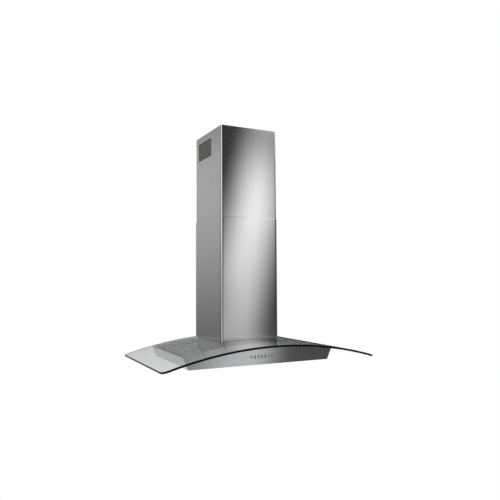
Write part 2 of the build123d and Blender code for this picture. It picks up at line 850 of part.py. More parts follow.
def damper_flap(knuckles):
    """A half-round flap on the left of the pin, with knuckles at the given stretches of the pin."""
    half = damper_plate / 2
    disc = upright(0, collar_y, damper_z - half, damper_z + half, damper_radius)
    reach = 2 * damper_radius
    y0 = collar_y - reach
    y1 = collar_y + reach
    flap = disc & block(-reach, -damper_plate_start, y0, y1, damper_z - cut, damper_z + cut)
    for start, end in knuckles:
        y0 = collar_y + start
        y1 = collar_y + end
        flap += along_y(0, y0, y1, damper_z, damper_knuckle_radius)
        flap += block(-damper_plate_start - cut, 0, y0, y1, damper_z - half, damper_z + half)
    bore = damper_pin_radius + running_gap
    return flap - along_y(0, collar_y - reach, collar_y + reach, damper_z, bore)


def left_damper_flap():
    """The left flap, on two outer knuckles."""
    start = damper_mid_knuckle / 2 + damper_knuckle_gap
    end = start + damper_end_knuckle
    return damper_flap([(-end, -start), (start, end)])


def right_damper_flap():
    """The right flap, on one middle knuckle."""
    half = damper_mid_knuckle / 2
    return mirrored(damper_flap([(-half, half)]))


# ---------------------------------------------------------------- flue
def flue_channel(half, front_y, back_y, corner, z0, z1):
    """A folded channel, open at the wall between two narrow returns."""
    outer = block(-half, half, front_y, back_y, z0, z1)
    outer = fillet(outer.edges().filter_by(Axis.Z).group_by(Axis.Y)[0], corner)
    side = half - flue_sheet
    inner = block(-side, side, front_y + flue_sheet, back_y - flue_sheet, z0 - cut, z1 + cut)
    inner = fillet(inner.edges().filter_by(Axis.Z).group_by(Axis.Y)[0], corner - flue_sheet)
    mouth = half - flue_return
    return outer - inner - block(-mouth, mouth, back_y - 2 * flue_sheet, back_y + cut, z0 - cut, z1 + cut)


def lower_flue():
    """The outer channel, resting on the glass."""
    channel = flue_channel(flue_half, flue_front_y, 0, flue_corner, canopy_bottom_z, lower_flue_top_z)
    return over_arch(channel, glass_radius + seat_gap)


def vent_window(grow, x0, x1):
    """The space of the left vent, grown all round."""
    y1 = -vent_from_wall + grow
    y0 = -vent_from_wall - vent_length - grow
    z1 = flue_top_z - vent_below_top + grow
    z0 = flue_top_z - vent_below_top - vent_height - grow
    return block(x0, x1, y0, y1, z0, z1)


def upper_flue():
    """The inner channel, with a vent window in each side."""
    corner = flue_corner - flue_step
    channel = flue_channel(upper_half, upper_front_y, upper_back_y, corner, upper_flue_bottom_z, flue_top_z)
    window = vent_window(0, -upper_half - cut, -upper_half + flue_sheet + cut)
    return channel - window - mirrored(window)


def left_vent_grille():
    """A louvred insert with a flange behind the sheet."""
    face = -upper_half + vent_recess
    back = face + vent_thickness
    inside = -upper_half + flue_sheet
    frame = vent_window(-slide_gap, face, back)
    frame += vent_window(vent_flange, inside, inside + vent_flange_thickness)
    frame -= vent_window(-vent_frame, face - cut, back + cut)
    centre_y = -vent_from_wall - vent_length / 2
    top = flue_top_z - vent_below_top - vent_frame
    clear_height = vent_height - 2 * vent_frame
    count = int(clear_height / vent_louvre_pitch)
    slat = Box(vent_thickness, vent_length - 2 * vent_frame + 2 * cut, vent_louvre_thickness)
    slats = []
    for index in range(count):
        z = top - (index + 0.5) * clear_height / count
        slats.append(Pos((face + back) / 2, centre_y, z) * Rot(0, vent_louvre_angle, 0) * slat)
    frame = frame + slats
    rib = vent_rib / 2
    z0 = top - clear_height - cut
    return frame + block((face + back) / 2, back, centre_y - rib, centre_y + rib, z0, top + cut)


def flue_slide_strips():
    """Felt strips inside the mouth of the lower flue that guide the upper one."""
    z1 = lower_flue_top_z - strip_below_top
    z0 = z1 - strip_height
    side = flue_half - flue_sheet
    y0 = flue_front_y + flue_corner
    y1 = -flue_corner
    left = block(-side, -side + strip_thickness, y0, y1, z0, z1)
    front_y = flue_front_y + flue_sheet
    x1 = flue_half - flue_corner
    front = block(-x1, x1, front_y, front_y + strip_thickness, z0, z1)
    return Compound(children=[left.solids()[0], mirrored(left).solids()[0], front.solids()[0]])


def flue_wall_bracket():
    """A strap in front of the upper flue's returns, stood off the wall by two bosses."""
    back = upper_back_y - flue_sheet
    front = back - bracket_sheet
    half = upper_half - flue_sheet
    z1 = flue_top_z - bracket_below_top
    z0 = z1 - bracket_height
    strap = block(-half, half, front, back, z0, z1)
    for x in (-half, half - bracket_sheet):
        strap += block(x, x + bracket_sheet, front - bracket_ear + bracket_sheet, back, z0, z1)
    mid_z = (z0 + z1) / 2
    for x in (-bracket_hole_spacing / 2, bracket_hole_spacing / 2):
        strap += along_y(x, back, 0, mid_z, bracket_boss_radius)
        strap -= along_y(x, front - cut, cut, mid_z, bracket_hole_radius)
    return strap


# ---------------------------------------------------------------- push buttons
def push_button(index):
    """One push button: head, stem and the rim that keeps it behind the panel."""
    stem_end = guide_back_y - stem_end_inset
    button = button_shape(index, 0, canopy_front_y - button_proud, stem_end)
    return button + button_shape(index, button_rim, button_rim_front_y, button_rim_back_y)


def button_guide():
    """The block behind the panel that guides the seven buttons."""
    half_w = guide_half_width
    half_h = guide_half_height
    guide = block(-half_w, half_w, panel_back_y, guide_back_y, button_z - half_h, button_z + half_h)
    for index in range(len(button_names)):
        guide -= button_shape(index, button_rim + button_pocket_gap, panel_back_y - cut, pocket_back_y)
        guide -= button_shape(index, button_hole_gap, panel_back_y - cut, guide_back_y + cut)
    for x in (-half_w + guide_post_inset, half_w - guide_post_inset):
        for z in (-half_h + guide_post_inset, half_h - guide_post_inset):
            guide += along_y(x, guide_back_y, board_front_y, button_z + z, guide_post_radius)
    return guide


def control_board():
    """The circuit board with a small switch behind each button."""
    half_w = guide_half_width
    half_h = guide_half_height
    back_y = board_front_y + board_thickness
    board = block(-half_w, half_w, board_front_y, back_y, button_z - half_h, button_z + half_h)
    pressed_end = guide_back_y - stem_end_inset + button_travel
    plunger_y = pressed_end + switch_button_gap
    for index in range(len(button_names)):
        x = (index - 3) * button_pitch
        half = switch_size / 2
        body_y = board_front_y - switch_height
        board += block(x - half, x + half, body_y, board_front_y, button_z - half, button_z + half)
        board += along_y(x, plunger_y, board_front_y, button_z, half / 2)
    return board


# ---------------------------------------------------------------- electrics
ebox_x1 = box_inner_half
ebox_x0 = ebox_x1 - ebox_width
ebox_y0 = box_inner_front_y + ebox_from_front
ebox_y1 = ebox_y0 + ebox_depth
ebox_z0 = glass_top_z + ebox_above_glass
ebox_z1 = ebox_z0 + ebox_height


def electrical_box():
    """The connection box on the right wall of the blower box."""
    wall = ebox_wall
    case = block(ebox_x0 + wall, ebox_x1, ebox_y0, ebox_y1, ebox_z0, ebox_z1)
    y0 = ebox_y0 + wall
    y1 = ebox_y1 - wall
    return case - block(ebox_x0, ebox_x1 - wall, y0, y1, ebox_z0 + wall, ebox_z1 - wall)


def electrical_box_cover():
    """The lid of the connection box."""
    lid = block(ebox_x0, ebox_x0 + ebox_wall, ebox_y0, ebox_y1, ebox_z0, ebox_z1)
    return fillet(lid.edges().filter_by(Axis.X), ebox_wall)


def cable_gland():
    """The gland that a supply cable enters through, at the top of the blower box."""
    top = box_top_z + gland_height
    gland = upright(gland_x, gland_y, box_ceiling_z - gland_below, top, gland_radius)
    gland += upright(gland_x, gland_y, box_top_z, box_top_z + gland_flange, gland_flange_radius)
    gland += upright(gland_x, gland_y, box_ceiling_z - gland_below, box_ceiling_z, gland_flange_radius)
    return gland - upright(gland_x, gland_y, box_ceiling_z - gland_below - cut, top + cut, gland_bore_radius)


# ---------------------------------------------------------------- all the nodes
def main():
    os.makedirs("parts", exist_ok=True)
    single = [
        glass_canopy, glass_gasket, glass_clamp_frame, glass_clamp_pad, pan_head_screws,
        canopy_top_plate, canopy_front_panel, canopy_left_side, canopy_back_panel,
        underside_panel, filter_hinge_ears,
        blower_box_shell, blower_box_back, blower_box_top,
        scroll_housing, right_scroll_cover, impeller, motor_shaft, motor, motor_bracket, run_capacitor,
        duct_collar, damper_pin, left_damper_flap, right_damper_flap,
        lower_flue, upper_flue, left_vent_grille, flue_slide_strips, flue_wall_bracket,
        button_guide, control_board, electrical_box, electrical_box_cover, cable_gland,
        right_filter_frame, right_filter_mesh, right_filter_latch, right_filter_latch_spring,
        right_lamp_housing, right_lamp_lens, right_lamp_led,
    ]
    paired = {
        "canopy_left_side": "canopy_right_side",
        "right_scroll_cover": "left_scroll_cover",
        "left_vent_grille": "right_vent_grille",
        "right_filter_frame": "left_filter_frame",
        "right_filter_mesh": "left_filter_mesh",
        "right_filter_latch": "left_filter_latch",
        "right_filter_latch_spring": "left_filter_latch_spring",
        "right_lamp_housing": "left_lamp_housing",
        "right_lamp_lens": "left_lamp_lens",
        "right_lamp_led": "left_lamp_led",
    }
    for make in single:
        shape = make()
        save(make.__name__, shape)
        if make.__name__ in paired:
            save(paired[make.__name__], mirrored(shape))
    for index, name in enumerate(button_names):
        save(name, push_button(index))


main()
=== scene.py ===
import math

import bmesh
import bpy
from mathutils import Matrix, Vector


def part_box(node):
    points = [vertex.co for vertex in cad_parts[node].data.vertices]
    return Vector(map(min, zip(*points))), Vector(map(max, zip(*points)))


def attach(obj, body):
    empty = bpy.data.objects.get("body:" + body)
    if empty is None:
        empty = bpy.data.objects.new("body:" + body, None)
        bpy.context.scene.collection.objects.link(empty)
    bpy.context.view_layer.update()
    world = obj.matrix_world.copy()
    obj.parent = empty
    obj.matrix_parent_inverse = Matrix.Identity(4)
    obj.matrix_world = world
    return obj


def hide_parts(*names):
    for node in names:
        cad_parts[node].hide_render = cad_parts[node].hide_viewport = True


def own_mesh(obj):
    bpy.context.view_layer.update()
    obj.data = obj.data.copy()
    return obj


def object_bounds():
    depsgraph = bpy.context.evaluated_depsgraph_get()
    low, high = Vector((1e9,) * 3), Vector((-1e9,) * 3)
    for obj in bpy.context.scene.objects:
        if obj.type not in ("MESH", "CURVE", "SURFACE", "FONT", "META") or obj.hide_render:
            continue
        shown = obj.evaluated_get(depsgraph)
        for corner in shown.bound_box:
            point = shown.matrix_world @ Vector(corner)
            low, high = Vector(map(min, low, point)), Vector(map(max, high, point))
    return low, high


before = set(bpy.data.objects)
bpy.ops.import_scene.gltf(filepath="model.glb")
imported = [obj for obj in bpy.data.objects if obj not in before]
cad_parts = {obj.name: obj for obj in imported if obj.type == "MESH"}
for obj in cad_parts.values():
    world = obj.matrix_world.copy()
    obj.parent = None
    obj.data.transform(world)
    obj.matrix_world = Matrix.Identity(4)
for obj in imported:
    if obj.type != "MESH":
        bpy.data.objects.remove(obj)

cadBox = [list(corner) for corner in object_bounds()]
scene = bpy.context.scene
mm = 0.001
near = 0.01 * mm         # places closer than this are the same
along = 0.9              # a normal with more than this share of an axis points along it
past = 1 * mm            # how far a cutting shape runs past the face it cuts
smoothAngle = 14         # degrees, under one step of a rounded edge's facets
print("loaded the frame:", len(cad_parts), "nodes")


def toLinear(code):
    channels = [int(code[at:at + 2], 16) / 255 for at in (1, 3, 5)]
    linear = [c / 12.92 if c <= 0.04045 else ((c + 0.055) / 1.055) ** 2.4 for c in channels]
    return (*linear, 1.0)


def clearSelection():
    if bpy.context.object and bpy.context.object.mode != "OBJECT":
        bpy.ops.object.mode_set(mode="OBJECT")
    bpy.ops.object.select_all(action="DESELECT")


def choose(piece):
    clearSelection()
    piece.select_set(True)
    bpy.context.view_layer.objects.active = piece


def pick(piece, kind, test):
    # opens the piece in edit mode with only the faces, edges or corners that pass the test selected
    choose(piece)
    bpy.ops.object.mode_set(mode="EDIT")
    bpy.ops.mesh.select_mode(type=kind)
    bpy.ops.mesh.select_all(action="DESELECT")
    mesh = bmesh.from_edit_mesh(piece.data)
    parts = {"FACE": mesh.faces, "EDGE": mesh.edges, "VERT": mesh.verts}[kind]
    for part in parts:
        if test(part):
            part.select_set(True)
    bmesh.update_edit_mesh(piece.data)


def settle(piece):
    # back to object mode, with the place and turn in the mesh
    choose(piece)
    bpy.ops.object.transform_apply(location=True, rotation=True, scale=True)
    return piece


def addBox(name, low, high):
    clearSelection()
    centre = [(a + b) / 2 for a, b in zip(low, high)]
    bpy.ops.mesh.primitive_cube_add(size=1, location=centre)
    piece = bpy.context.object
    piece.name = name
    piece.scale = [abs(b - a) for a, b in zip(low, high)]
    return settle(piece)


def addDrum(name, centre, radius, depth, axis, sides):
    clearSelection()
    turn = {"Y": (math.pi / 2, 0, 0), "Z": (0, 0, 0)}[axis]
    bpy.ops.mesh.primitive_cylinder_add(vertices=sides, radius=radius, depth=depth, location=centre,
                                        rotation=turn)
    piece = bpy.context.object
    piece.name = name
    return settle(piece)


def useModifier(piece, kind, **settings):
    choose(piece)
    modifier = piece.modifiers.new(kind.title(), kind)
    for key, value in settings.items():
        setattr(modifier, key, value)
    bpy.ops.object.modifier_apply(modifier=modifier.name)


def cutAway(piece, tool):
    useModifier(piece, "BOOLEAN", operation="DIFFERENCE", solver="EXACT", object=tool)
    bpy.data.objects.remove(tool)


def roundSelected(width, segments):
    bpy.ops.mesh.bevel(offset=width, segments=segments, affect="EDGES")


def softenEdges(piece, width, segments=2, angle=40):
    useModifier(piece, "BEVEL", width=width, segments=segments, limit_method="ANGLE",
                angle_limit=math.radians(angle), harden_normals=False)


def smoothShade(piece):
    # rounded edges turn smooth, and flat faces keep their own normals
    choose(piece)
    bpy.ops.object.shade_smooth_by_angle(angle=math.radians(smoothAngle))
    useModifier(piece, "WEIGHTED_NORMAL", mode="FACE_AREA", weight=100, keep_sharp=True)


def bisectAt(piece, places, normal):
    pick(piece, "FACE", lambda face: False)
    for place in places:
        bpy.ops.mesh.select_all(action="SELECT")
        bpy.ops.mesh.bisect(plane_co=place, plane_no=normal)
    clearSelection()


def copyOf(piece, name, move=(0, 0, 0)):
    twin = piece.copy()
    twin.data = piece.data.copy()
    twin.name = name
    scene.collection.objects.link(twin)
    twin.data.transform(Matrix.Translation(move))
    return twin


def copyRow(piece, count, step):
    # the piece and its copies, each one step further
    return [piece] + [copyOf(piece, piece.name, Vector(step) * number) for number in range(1, count)]


def mirrorCopy(piece, name):
    # the same piece on the other side, with its faces turned outward again
    twin = copyOf(piece, name)
    twin.data.transform(Matrix.Scale(-1, 4, (1, 0, 0)))
    pick(twin, "FACE", lambda face: True)
    bpy.ops.mesh.flip_normals()
    clearSelection()
    return twin


def joinAll(pieces, name):
    clearSelection()
    for piece in pieces:
        piece.select_set(True)
    bpy.context.view_layer.objects.active = pieces[0]
    bpy.ops.object.join()
    pieces[0].name = name
    return pieces[0]


def isUpright(edge):
    a, b = (corner.co for corner in edge.verts)
    return abs(a.x - b.x) < near and abs(a.y - b.y) < near


def liesBelow(edge, height):
    return all(corner.co.z < height for corner in edge.verts)


def addNode(tree, kind, settings=None, links=None):
    # settings: attributes or input values; links: input name -> output socket
    node = tree.nodes.new(kind)
    for key, value in (settings or {}).items():
        if isinstance(key, str) and hasattr(node, key):
            setattr(node, key, value)
        else:
            node.inputs[key].default_value = value
    for key, socket in (links or {}).items():
        tree.links.new(socket, node.inputs[key])
    return node


def emptyMaterial(name):
    material = bpy.data.materials.new(name)
    material.use_nodes = True
    material.node_tree.nodes.clear()
    return material, material.node_tree


def newMaterial(name):
    material, tree = emptyMaterial(name)
    shader = addNode(tree, "ShaderNodeBsdfPrincipled")
    addNode(tree, "ShaderNodeOutputMaterial", links={"Surface": shader.outputs[0]})
    place = addNode(tree, "ShaderNodeTexCoord")
    return material, tree, shader, place.outputs["Object"]


def darkAndFull(colour, darker):
    full = toLinear(colour)
    return tuple(value * darker for value in full[:3]) + (1.0,), full


def applyFinish(tree, shader, colours, tone, roughness, wear, relief=None):
    # tone runs through the two colours and wear through the roughness, and relief is a pattern with
    # its strength and its height
    dark, full = colours
    shade = addNode(tree, "ShaderNodeMix", {"data_type": "RGBA", 6: dark, 7: full}, {0: tone})
    tree.links.new(shade.outputs[2], shader.inputs["Base Color"])
    first, last = roughness
    rough = addNode(tree, "ShaderNodeMapRange", {"To Min": first, "To Max": last}, {"Value": wear})
    tree.links.new(rough.outputs[0], shader.inputs["Roughness"])
    if relief:
        pattern, strength, height = relief
        bump = addNode(tree, "ShaderNodeBump", {"Strength": strength, "Distance": height},
                       {"Height": pattern})
        tree.links.new(bump.outputs[0], shader.inputs["Normal"])


brushing = {
    "lineWidth": 0.7 * mm,     # wider than the real 0.1 mm, so that the lines show
    "lineLength": 60 * mm,
    "bandScale": 0.08,         # broad bands of lines, against the single ones
    "bandShare": 0.35,
    "pattern": (0.45, 0.9),    # the part of the pattern's range that the tone runs through
    "darker": 0.955,
    "spread": 0.5,             # how much the grain draws a reflection out
    "relief": 0.01 * mm,
}


def brushedMetal(name, colour, grain, roughness=0.13):
    # belt-brushed stainless sheet: a soft mirror, drawn out across fine lines that run along the grain
    look = brushing
    material, tree, shader, place = newMaterial(name)
    fine = 1 / look["lineWidth"]
    long = 1 / look["lineLength"]
    scale = {"X": (long, fine, fine), "Y": (fine, long, fine), "Z": (fine, fine, long)}[grain]
    stretched = addNode(tree, "ShaderNodeMapping", {"Scale": scale}, {"Vector": place})
    lines = addNode(tree, "ShaderNodeTexNoise", {"Scale": 1.0, "Detail": 4.0, "Roughness": 0.6},
                    {"Vector": stretched.outputs[0]})
    broadScale = tuple(value * look["bandScale"] for value in scale)
    broad = addNode(tree, "ShaderNodeMapping", {"Scale": broadScale}, {"Vector": place})
    bands = addNode(tree, "ShaderNodeTexNoise", {"Scale": 1.0, "Detail": 2.0}, {"Vector": broad.outputs[0]})
    mixed = addNode(tree, "ShaderNodeMath", {"operation": "MULTIPLY_ADD", 1: look["bandShare"]},
                    {0: bands.outputs[0], 2: lines.outputs[0]})
    first, last = look["pattern"]
    tone = addNode(tree, "ShaderNodeMapRange", {"From Min": first, "From Max": last},
                   {"Value": mixed.outputs[0]}).outputs[0]
    applyFinish(tree, shader, darkAndFull(colour, look["darker"]), tone,
                (roughness * 1.15, roughness * 0.85), tone, (lines.outputs[0], 0.03, look["relief"]))
    shader.inputs["Metallic"].default_value = 1.0
    shader.inputs["Anisotropic"].default_value = look["spread"]
    tangent = addNode(tree, "ShaderNodeTangent", {"direction_type": "RADIAL", "axis": "Z"})
    tree.links.new(tangent.outputs[0], shader.inputs["Tangent"])
    if grain == "Z":
        shader.inputs["Anisotropic Rotation"].default_value = 0.25   # a quarter turn
    return material


def grainyPlastic(name, colour, roughness=0.45, grit=0.9, height=0.03, darker=0.8):
    # moulded plastic: an even tone with a fine spark-eroded grain, grit and height in mm
    material, tree, shader, place = newMaterial(name)
    grain = addNode(tree, "ShaderNodeTexNoise", {"Scale": 1 / (grit * mm), "Detail": 3.0}, {"Vector": place})
    cloud = addNode(tree, "ShaderNodeTexNoise", {"Scale": 1 / (35 * mm), "Detail": 2.0}, {"Vector": place})
    applyFinish(tree, shader, darkAndFull(colour, darker), cloud.outputs[0],
                (roughness * 0.85, roughness * 1.15), grain.outputs[0],
                (grain.outputs[0], 0.25, height * mm))
    return material


def dullMetal(name, colour, roughness, spangle=6, darker=0.8):
    # rolled or plated metal: soft patches of tone, spangle in mm
    material, tree, shader, place = newMaterial(name)
    size = spangle * mm
    cells = addNode(tree, "ShaderNodeTexVoronoi", {"Scale": 1 / size}, {"Vector": place})
    cloud = addNode(tree, "ShaderNodeTexNoise", {"Scale": 1 / (4 * size), "Detail": 3.0}, {"Vector": place})
    both = addNode(tree, "ShaderNodeMath", {"operation": "MULTIPLY"},
                   {0: cells.outputs["Color"], 1: cloud.outputs[0]})
    tone = addNode(tree, "ShaderNodeMapRange", {"From Max": 0.7}, {"Value": both.outputs[0]}).outputs[0]
    applyFinish(tree, shader, darkAndFull(colour, darker), tone,
                (roughness * 0.8, roughness * 1.2), tone)
    shader.inputs["Metallic"].default_value = 1.0
    return material


glassBend = 1560 * mm    # outer radius of the arched glass
glassLook = {
    "colour": "#fbfdfc",
    "tint": "#b4bcb9",         # taken on by light on its way through the sheet
    "density": 22.0,           # of the tint, per metre
    # painted shade of the ground edges: nearly black
    "edge": "#0a100e",
    "level": (0.9, 0.99),      # from the painted dark shade of the edge to a clear face, by how level the face lies
    "shadow": "#d6dbd9",
    "wiped": 60 * mm,          # faint marks of the polishing
    "wipedRange": (0.55, 0.8),
    "roughness": (0.0, 0.02),
}


def toughenedGlass(name):
    # clear float glass, bent and polished: grey-green, with painted dark shade on the edges where one looks
    # along the sheet
    look = glassLook
    material, tree, shader, place = newMaterial(name)
    shader.inputs["Base Color"].default_value = toLinear(look["colour"])
    shader.inputs["IOR"].default_value = 1.5
    shader.inputs["Transmission Weight"].default_value = 1.0
    wipe = addNode(tree, "ShaderNodeTexNoise", {"Scale": 1 / look["wiped"], "Detail": 3.0}, {"Vector": place})
    first, last = look["wipedRange"]
    smooth, dull = look["roughness"]
    rough = addNode(tree, "ShaderNodeMapRange",
                    {"From Min": first, "From Max": last, "To Min": smooth, "To Max": dull},
                    {"Value": wipe.outputs[0]})
    tree.links.new(rough.outputs[0], shader.inputs["Roughness"])
    # the ground edges stand upright, and a nearly black surface is painted on them as shade for the light
    # that runs along inside the sheet
    across = addNode(tree, "ShaderNodeSeparateXYZ", links={0: place})
    lean = addNode(tree, "ShaderNodeMath", {"operation": "DIVIDE", 1: glassBend}, {0: across.outputs[0]})
    outward = addNode(tree, "ShaderNodeCombineXYZ", {"Z": 1.0}, {"X": lean.outputs[0]})
    outward = addNode(tree, "ShaderNodeVectorMath", {"operation": "NORMALIZE"}, {0: outward.outputs[0]})
    facing = addNode(tree, "ShaderNodeVectorMath", {"operation": "DOT_PRODUCT"},
                     {0: outward.outputs[0], 1: tree.nodes["Texture Coordinate"].outputs["Normal"]})
    level = addNode(tree, "ShaderNodeMath", {"operation": "ABSOLUTE"}, {0: facing.outputs["Value"]})
    steep, flat = look["level"]
    rim = addNode(tree, "ShaderNodeMapRange",
                  {"From Min": steep, "From Max": flat, "To Min": 1.0, "To Max": 0.0},
                  {"Value": level.outputs[0]})
    # painted shade: a dull, nearly black surface for the edges
    dark = addNode(tree, "ShaderNodeBsdfPrincipled",
                   {"Base Color": toLinear(look["edge"]), "Roughness": 0.3, "Specular IOR Level": 0.05})
    withPaintedEdgeShade = addNode(tree, "ShaderNodeMixShader",
                    links={0: rim.outputs[0], 1: shader.outputs[0], 2: dark.outputs[0]})
    path = addNode(tree, "ShaderNodeLightPath")
    clear = addNode(tree, "ShaderNodeBsdfTransparent", {"Color": toLinear(look["shadow"])})
    both = addNode(tree, "ShaderNodeMixShader",
                   links={0: path.outputs["Is Shadow Ray"], 1: withPaintedEdgeShade.outputs[0], 2: clear.outputs[0]})
    out = tree.nodes["Material Output"]
    tree.links.new(both.outputs[0], out.inputs["Surface"])
    tint = addNode(tree, "ShaderNodeVolumeAbsorption",
                   {"Color": toLinear(look["tint"]), "Density": look["density"]})
    tree.links.new(tint.outputs[0], out.inputs["Volume"])
    return material


def clearSilicone(name):
    # clear sealant wetted to the glass and the sheet, so that its faces hardly bend the light
    material, tree, shader, place = newMaterial(name)
    shader.inputs["IOR"].default_value = 1.03
    shader.inputs["Transmission Weight"].default_value = 1.0
    cloud = addNode(tree, "ShaderNodeTexNoise", {"Scale": 1 / (12 * mm), "Detail": 2.0}, {"Vector": place})
    applyFinish(tree, shader, (toLinear("#eceeed"), toLinear("#f6f8f7")), cloud.outputs[0], (0.02, 0.08),
                cloud.outputs[0])
    return material


def frostedLens(name):
    # etched glass over the lamp: milky, with a fine orange-peel surface
    material, tree, shader, place = newMaterial(name)
    shader.inputs["Transmission Weight"].default_value = 0.55
    peel = addNode(tree, "ShaderNodeTexNoise", {"Scale": 1 / (0.8 * mm), "Detail": 2.0}, {"Vector": place})
    applyFinish(tree, shader, darkAndFull("#f3f2ec", 1.0), peel.outputs[0], (0.35, 0.6),
                peel.outputs[0], (peel.outputs[0], 0.3, 0.03 * mm))
    return material


finish = {
    # stainless sheet, belt brushed: a soft mirror of the room, with fine lines along the grain
    "flueSteel": brushedMetal("brushedStainlessUpright", "#b4b3b3", "Z", roughness=0.1),
    "canopySteel": brushedMetal("brushedStainlessAcross", "#b1b3b5", "X"),
    # the top plate under the glass: the same brushed stainless, painted darker as shade from the glass above
    # it
    "topSteelPaintedShade": brushedMetal("brushedStainlessTopPaintedShade", "#5d5e5f", "X"),
    "endSteel": brushedMetal("brushedStainlessEnd", "#b1b3b5", "Y"),
    "glass": toughenedGlass("bentFloatGlass"),
    "silicone": clearSilicone("clearSilicone"),
    # hot-dip galvanised and zinc plated steel: dull grey, with spangles or small patches
    "galvanised": dullMetal("galvanisedSteel", "#a7abad", 0.45),
    "zincPlated": dullMetal("zincPlatedSteel", "#b2b2ac", 0.35, 3),
    # drawn wire: darker, with a tight highlight along each turn
    "springWire": dullMetal("springSteelWire", "#9a9a9c", 0.25, 2),
    # anodised and expanded aluminium: lighter and more even
    "anodised": dullMetal("anodisedAluminium", "#c2c4c6", 0.38, 2, 0.92),
    "meshAluminium": dullMetal("expandedAluminium", "#b6b9bb", 0.32, 4, 0.85),
    # injection moulded ABS and polypropylene: an even tone and a broad, weak highlight
    "blackPlastic": grainyPlastic("mouldedBlackPlastic", "#1d1d1e"),
    "ventPlastic": grainyPlastic("mouldedVentPlastic", "#6c6c6a", 0.45),
    "fanPlastic": grainyPlastic("glassFilledPolypropylene", "#37373a", 0.5, 1.2, 0.04),
    "wheelPlastic": grainyPlastic("mouldedFanWheel", "#45464a", 0.45, 1.0),
    "whitePlastic": grainyPlastic("whiteCapacitorShell", "#dcdbd4", 0.4),
    # phosphated sheet: dark grey and cloudy
    "motorPaint": dullMetal("phosphatedMotorSteel", "#6c6f72", 0.45, 4, 0.8),
    # pressed wool: coarse, without a highlight
    "felt": grainyPlastic("greyWoolFelt", "#4a4a4a", 0.95, 0.6, 0.25, 0.6),
    # lacquer over copper: a smooth, glossy green
    "circuitGreen": grainyPlastic("greenSolderMask", "#1f5c33", 0.25, 3.0, 0.02),
    "lens": frostedLens("etchedLampGlass"),
    # ceramic under yellow phosphor: a matt cream
    "ledPlate": grainyPlastic("ledCeramicPlate", "#e9e3c8", 0.5),
    # polished ring and satin plated caps: bright, without a grain
    "chrome": dullMetal("polishedLampRing", "#c9c9c7", 0.15, 8, 0.94),
    "buttonCap": dullMetal("satinButtonCap", "#838487", 0.3, 2, 0.9),
}
print("made", len(finish), "finishes")


def setFinish(piece, key):
    piece.data.materials.clear()
    piece.data.materials.append(finish[key])


def complete(piece, key, node, body):
    # shading, finish and place in the assembly of a piece that stands for one of the CAD nodes
    smoothShade(piece)
    if key:
        setFinish(piece, key)
    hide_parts(node)
    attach(piece, body)


nodeFinish = {
    "canopySteel": ["canopy_front_panel", "underside_panel"],
    # the top plate takes the darker stainless, painted shade under the glass
    "topSteelPaintedShade": ["canopy_top_plate"],
    "endSteel": ["canopy_left_side", "canopy_right_side"],
    "galvanised": ["canopy_back_panel", "blower_box_shell", "blower_box_back", "blower_box_top",
                   "glass_clamp_frame", "filter_hinge_ears", "flue_wall_bracket", "motor_bracket",
                   "duct_collar"],
    "silicone": ["glass_gasket", "glass_clamp_pad"],
    "zincPlated": ["damper_pin", "motor_shaft"],
    "anodised": ["left_filter_frame", "right_filter_frame"],
    "chrome": ["left_lamp_housing", "right_lamp_housing"],
    "lens": ["left_lamp_lens", "right_lamp_lens"],
    "ledPlate": ["left_lamp_led", "right_lamp_led"],
    "fanPlastic": ["scroll_housing", "left_scroll_cover", "right_scroll_cover", "left_damper_flap",
                   "right_damper_flap"],
    "wheelPlastic": ["impeller"],
    "motorPaint": ["motor"],
    "whitePlastic": ["run_capacitor"],
    "felt": ["flue_slide_strips"],
    "blackPlastic": ["button_guide", "electrical_box", "electrical_box_cover", "cable_gland"],
    "circuitGreen": ["control_board"],
}
for key, names in nodeFinish.items():
    for name in names:
        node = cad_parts[name]
        slots = len(node.data.materials)
        for index in range(slots):
            node.data.materials[index] = finish[key]
        if not slots:
            node.data.materials.append(finish[key])
print("CAD pieces finished")

glassShape = {
    "frontCorner": 25 * mm,
    "rearCorner": 4 * mm,
    "thickness": 8 * mm,
    "notchGap": 3 * mm,          # around the blower box
    "polish": 0.7 * mm,          # of the ground edges
    "stations": 76,              # flat steps along the bend
}


def archHeight(x):
    # height of the upper glass surface over x
    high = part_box("glass_canopy")[1]
    return high.z - glassBend + math.sqrt(glassBend * glassBend - x * x)


def makeGlass():
    # a flat sheet first, which is then bent to the arch
    shape = glassShape
    low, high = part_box("glass_canopy")
    boxLow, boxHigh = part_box("blower_box_shell")
    half = glassBend * math.asin(high.x / glassBend)
    sheet = addBox("glassSheet", (-half, low.y, -shape["thickness"]), (half, high.y, 0))
    pick(sheet, "EDGE", lambda edge: isUpright(edge) and edge.verts[0].co.y < low.y + near)
    roundSelected(shape["frontCorner"], segments=12)
    pick(sheet, "EDGE", lambda edge: isUpright(edge) and edge.verts[0].co.y > high.y - near)
    roundSelected(shape["rearCorner"], segments=4)
    gap = shape["notchGap"]
    notch = addBox("notch", (-boxHigh.x - gap, boxLow.y - gap, -shape["thickness"] - past),
                   (boxHigh.x + gap, high.y + past, past))
    cutAway(sheet, notch)
    softenEdges(sheet, shape["polish"], segments=3)
    step = 2 * half / shape["stations"]
    bisectAt(sheet, [(number * step - half, 0, 0) for number in range(1, shape["stations"])], (1, 0, 0))
    for corner in sheet.data.vertices:
        turn = corner.co.x / glassBend
        reach = glassBend + corner.co.z
        corner.co = (reach * math.sin(turn), corner.co.y, high.z - glassBend + reach * math.cos(turn))
    complete(sheet, "glass", "glass_canopy", "hood")


makeGlass()
print("glass bent")

flueShape = {
    "corner": 10 * mm,           # of the lower channel
    "step": 1.9 * mm,            # the upper channel stands inside the lower one by this
    "sheet": 1 * mm,
    "returnWidth": 7 * mm,       # the flanges along the wall
    "footSteps": 8,              # flat steps of the foot to each side, along the glass
    "seat": 0.3 * mm,            # between the foot and the glass
    "edge": 0.25 * mm,
    "lipHeight": 2.2 * mm,       # the lower channel's top edge leans in towards the sliding one
    "lipLean": 0.58 * mm,
}


